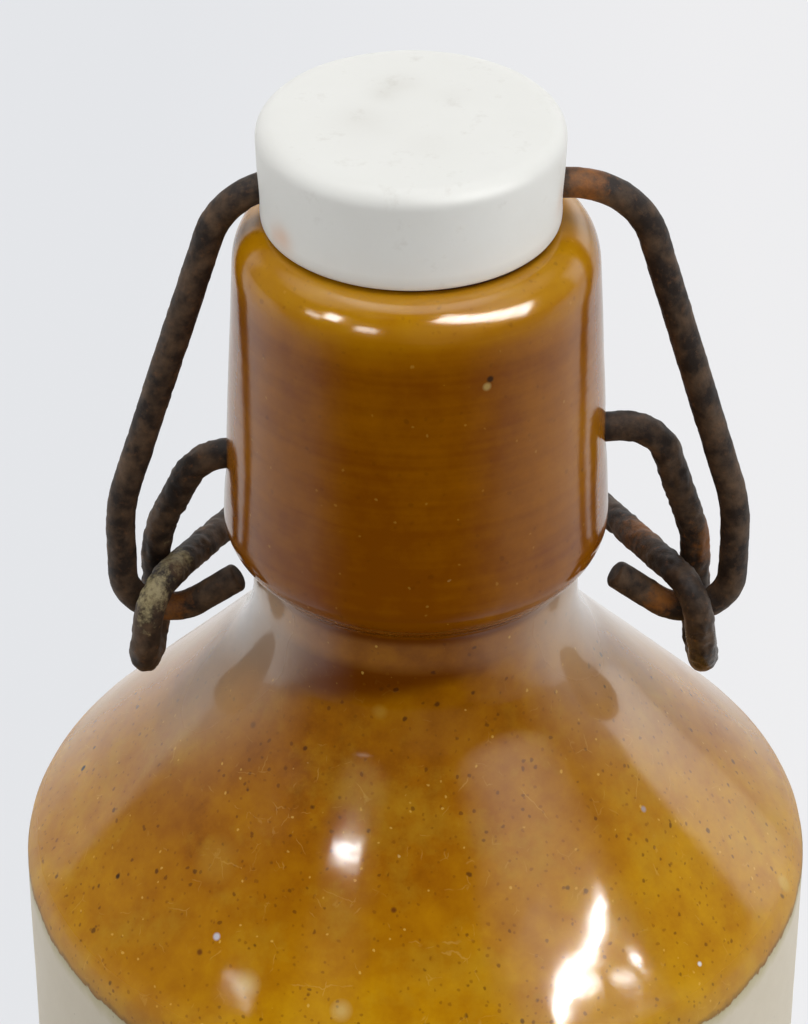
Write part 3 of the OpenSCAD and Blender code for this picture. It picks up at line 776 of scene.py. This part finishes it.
def rubber_ring():
    """A closed four-sided outline with softened corners, turned about the axis, and unevenly
    swollen by a few hundredths of a millimetre."""
    top_r = NECK_R - WALL_T + BEVEL + HEAD_GAP - SEAT_GAP / math.cos(math.radians(45))
    inner = PLUG_R + RING_PLAY
    outline = np.array([[inner, HEAD_Z - RING_T], [top_r - RING_T, HEAD_Z - RING_T],
                        [top_r, HEAD_Z], [inner, HEAD_Z]])
    line = softened(outline, step=0.04, blur=0.18, closed=True)[::6]
    grid = thrown(line, RING_COLUMNS)
    swell = 0.03 * clay_noise(grid, 1.5, 41)
    grid = grid * [1, 1, 0] * (1 + swell / 9)[..., None] + grid * [0, 0, 1]
    return clad("rubber_seal", grid, "stopper", "rubber_ring",
                perished_rubber(), poles=False)


glazed_bottle()
iron = rusty_wire("rusted_iron_wire_drawn")
lever_wire(iron)
bail_wire(iron)
porcelain_stopper()
rubber_ring()


# ---------------------------------------------------------------- floor, light and camera

def white_table():
    """Matt white paper. The camera sees it plainly lit, with painted shade a little darker and bluer on
    the left, and it keeps part of the shadow. What the glaze mirrors of it is painted dimmer to the
    front, with a dark wedge of painted shade where nothing in the room would light it."""
    material, tree, place = bare_finish("white_table_paper")
    path = add(tree, "LightPath")
    ray = path.outputs["Is Camera Ray"]
    x, y, _ = add(tree, "SeparateXYZ", (place,)).outputs

    # The wedge of painted shade: how far aside a point is, over how far ahead, from just left of the
    # bottle.
    aside = add(tree, "Math", (x, 0.048), operation="ADD")
    aside = add(tree, "Math", (aside,), operation="ABSOLUTE")
    ahead = add(tree, "Math", (y, -1.0), operation="MULTIPLY")
    ahead = add(tree, "Math", (ahead, 0.001), operation="MAXIMUM")
    ratio = add(tree, "Math", (aside, ahead), operation="DIVIDE")
    lit = add(tree, "MapRange", (ratio, 0.6, 1.6))
    lit = add(tree, "Math", (lit, ray), operation="MAXIMUM")
    colour = add(tree, "Mix", (lit, (0.04, 0.035, 0.03, 1), tint("#F2F2F2")), data_type="RGBA")
    # Painted shade: in reflections the paper is painted darker towards the front.
    front = add(tree, "MapRange", (y, 0.12, -0.25, 0.1, 0.8))
    front = add(tree, "Math", (front, path.outputs["Is Glossy Ray"]), operation="MULTIPLY")
    colour = add(tree, "Mix", (front, colour, (0, 0, 0, 1)), data_type="RGBA")
    paper = add(tree, "BsdfDiffuse", {"Color": colour})

    # What the camera sees: painted shade, a little darker and bluer on the left than on the right.
    side = add(tree, "MapRange", (x, -0.05, 0.06))
    white = add(tree, "Mix", (side, tint("#E2E4E8"), tint("#EDEDEF")), data_type="RGBA")
    glow = add(tree, "Emission", {"Color": white, "Strength": 1.0})
    share = add(tree, "Math", (ray, 0.85), operation="MULTIPLY")
    both = add(tree, "MixShader", (share, paper, glow))
    add(tree, "OutputMaterial", (both,))
    return material


def table():
    """Wide flat table top."""
    half = 4.0
    mesh = bpy.data.meshes.new("table")
    mesh.from_pydata([(-half, -half, 0), (half, -half, 0), (half, half, 0), (-half, half, 0)],
                     [], [(0, 1, 2, 3)])
    mesh.update()
    floor = bpy.data.objects.new("table", mesh)
    bpy.context.scene.collection.objects.link(floor)
    mesh.materials.append(white_table())


def towards(azimuth, elevation):
    """Direction in the room. Azimuth 0 is in front, at -y, and 90 is at +x."""
    a, e = math.radians(azimuth), math.radians(elevation)
    return np.array([math.sin(a) * math.cos(e), -math.cos(a) * math.cos(e), math.sin(e)])


def hang(light, place, turn, mirrored):
    """Hangs a lamp that the camera can't see. Either it shows only as a reflection in what is
    glossy, or it only lights what is matt."""
    lamp = bpy.data.objects.new(light.name, light)
    lamp.location = place
    lamp.rotation_euler = turn
    lamp.visible_camera = False
    lamp.visible_glossy = mirrored
    lamp.visible_diffuse = not mirrored
    bpy.context.scene.collection.objects.link(lamp)


def glint(name, aim, azimuth, elevation, distance, width, height, brightness, fan, roll=0):
    """Small lamp for a reflection, facing the point aim, in millimetres, from the given
    direction. Seen from the aim it is width by height degrees, turned by roll, and brightness
    times as bright as white paper. fan is its spread."""
    light = bpy.data.lights.new(name, "AREA")
    light.shape = "RECTANGLE"
    wide, high = (2 * distance * math.tan(math.radians(a / 2)) for a in (width, height))
    light.size, light.size_y = wide, high
    half = math.radians(fan / 2)
    light.energy = brightness * math.pi * wide * high * (2 * (1 - half / math.tan(half)))
    light.spread = 2 * half
    facing = Euler((math.radians(90 - elevation), 0, math.radians(azimuth))).to_matrix()
    hang(light, np.array(aim) * MM + towards(azimuth, elevation) * distance,
         (facing @ Matrix.Rotation(math.radians(roll), 3, "Z")).to_euler(), mirrored=True)


def soft_box(name, azimuth, elevation, level):
    """Large soft light aimed at the collar. Alone it lights a surface that faces it to level
    times its own colour."""
    light = bpy.data.lights.new(name, "AREA")
    light.size = 0.9
    distance = 1.2
    light.energy = level * (math.pi * distance) ** 2
    hang(light, np.array([0, 0, 0.17]) + towards(azimuth, elevation) * distance,
         (math.radians(90 - elevation), 0, math.radians(azimuth)), mirrored=False)


def room():
    """Light tent: white cloth lit from behind as far round as the sides, a bright ceiling, and
    dim walls that are darkest in front. The camera sees plain white."""
    world = bpy.data.worlds.new("light_tent")
    bpy.context.scene.world = world
    world.use_nodes = True
    tree = world.node_tree
    tree.nodes.clear()
    way = add(tree, "TexCoord").outputs["Generated"]
    x, y, z = add(tree, "SeparateXYZ", (way,)).outputs

    # The lit cloth, by the angle round from +y, at the back, with +x positive.
    turn = add(tree, "Math", (x, y), operation="ARCTAN2")
    right = add(tree, "MapRange", (turn, math.radians(71.5), math.radians(68.5)))
    left = add(tree, "MapRange", (turn, math.radians(-61.5), math.radians(-57.5)))
    low = add(tree, "MapRange", (z, 0.5, 0.3))
    cloth = add(tree, "Math", (right, left), operation="MULTIPLY")
    cloth = add(tree, "Math", (cloth, low), operation="MULTIPLY")
    white = add(tree, "Math", (add(tree, "MapRange", (z, -0.1, 0.12, 0.75, 1.6)),
                               add(tree, "MapRange", (x, -0.9, 0.0, 0.5, 1.0))),
                operation="MULTIPLY")
    white = add(tree, "CombineColor", (white, white, white))

    # Walls, ceiling and cloth, and then soft bright patches by azimuth, elevation, radius in
    # degrees and level.
    ahead = add(tree, "MapRange", (y, 0.2, -0.4))
    ceiling = add(tree, "MapRange", (z, 0.86, 0.95))
    light = add(tree, "Mix", (ahead, (0.2, 0.2, 0.2, 1), (0.05, 0.047, 0.043, 1)),
                data_type="RGBA")
    light = add(tree, "Mix", (ceiling, light, (2.2, 2.2, 2.2, 1)), data_type="RGBA")
    light = add(tree, "Mix", (cloth, light, white), data_type="RGBA")
    for azimuth, elevation, radius, level in ((58, 44, 24, 1.0), (-33, 50, 12, 0.3),
                                              (-95, 60, 30, 1.4), (100, 60, 28, 0.8)):
        near = add(tree, "VectorMath", (way, towards(azimuth, elevation).tolist()),
                   operation="DOT_PRODUCT")
        halo = add(tree, "MapRange", (near, math.cos(math.radians(radius)), 1.0, 0.0, level))
        halo = add(tree, "CombineColor", (halo, halo, halo))
        light = add(tree, "Mix", (1.0, light, halo), data_type="RGBA", blend_type="ADD")
    ray = add(tree, "LightPath").outputs["Is Camera Ray"]
    seen = add(tree, "Mix", (ray, light, tint("#EBECEE")), data_type="RGBA")
    back = add(tree, "Background", {"Color": seen, "Strength": 1.0})
    add(tree, "OutputWorld", (back,))


table()
room()
soft_box("front_light", 15, 14, level=0.39)
soft_box("left_light", -80, 20, level=0.16)
soft_box("right_light", 80, 14, level=0.11)

# The strokes of the highlight on the shoulder, smaller ones to its left, and its halo.
for name, aim, azimuth, elevation, width, height, roll, brightness in (
        ("key_top", (17.0, -25.8, 128.8), 67, 34.2, 13, 2.3, 0, 39),
        ("key_middle", (15.6, -29.0, 126.6), 58, 36.6, 11, 1.9, -8, 39),
        ("key_low", (14.1, -31.9, 124.5), 49.5, 38.4, 12, 3.2, 8, 39),
        ("key_branch", (15.4, -30.8, 124.7), 54.7, 37.1, 14, 2.0, -22, 21),
        ("key_spot", (20.9, -27.6, 124.8), 73, 31.2, 4, 1.4, -50, 30),
        ("key_dash", (19.7, -29.5, 123.8), 67.3, 33, 8, 1.1, -33, 18),
        ("left_dash", (-6.3, -23.6, 135.7), -32.2, 44.3, 13, 0.9, 7, 30),
        ("low_dash", (-16.6, -30.7, 124.5), -57.8, 36.3, 13, 1.0, 14, 6)):
    glint(name, aim, azimuth, elevation, 0.06, width, height, brightness, fan=18, roll=roll)
for k in range(3):
    glint("key_haze_%d" % k, (11, -33, 124), 45, 39.5, distance=0.05, width=30 - 6 * k,
          height=22 - 6 * k, brightness=0.45, fan=22)

# The bar on the collar's lip, bent round it, and the dots to its left.
for k in range(5):
    glint("lip_bar_%d" % k, (5, -15, 188.5), 20.5 + 12.8 * k, 45.5 - 6.2 * k, distance=0.05,
          width=14, height=21, brightness=15, fan=38, roll=-33)
for name, aim, azimuth, elevation, distance, width, height, brightness, fan in (
        ("lip_dot_outer", (-7, -14, 188), -53, 23, 0.05, 11, 14, 14, 40),
        ("lip_dot_tail", (-9, -13, 188), -64, 16, 0.05, 11, 11, 5, 40),
        ("lip_dot_inner", (-4.5, -16, 188), -30, 15, 0.04, 16, 13, 7, 50)):
    glint(name, aim, azimuth, elevation, distance, width, height, brightness, fan)

# The camera, in metres: how far it stands from its aim and how steeply it looks down.
distance, down = 0.3758, math.radians(34.43)
aim_x, aim_z = -0.001144, 0.15775
camera = bpy.data.cameras.new("camera")
camera.sensor_width = 36.0
camera.lens = 138.6
camera.clip_start, camera.clip_end = 0.01, 10.0
viewer = bpy.data.objects.new("camera", camera)
viewer.location = (aim_x, -distance * math.cos(down), aim_z + distance * math.sin(down))
viewer.rotation_euler = (math.radians(90) - down, 0, 0)
bpy.context.scene.collection.objects.link(viewer)
bpy.context.scene.camera = viewer

bpy.context.scene.view_settings.view_transform = "Standard"
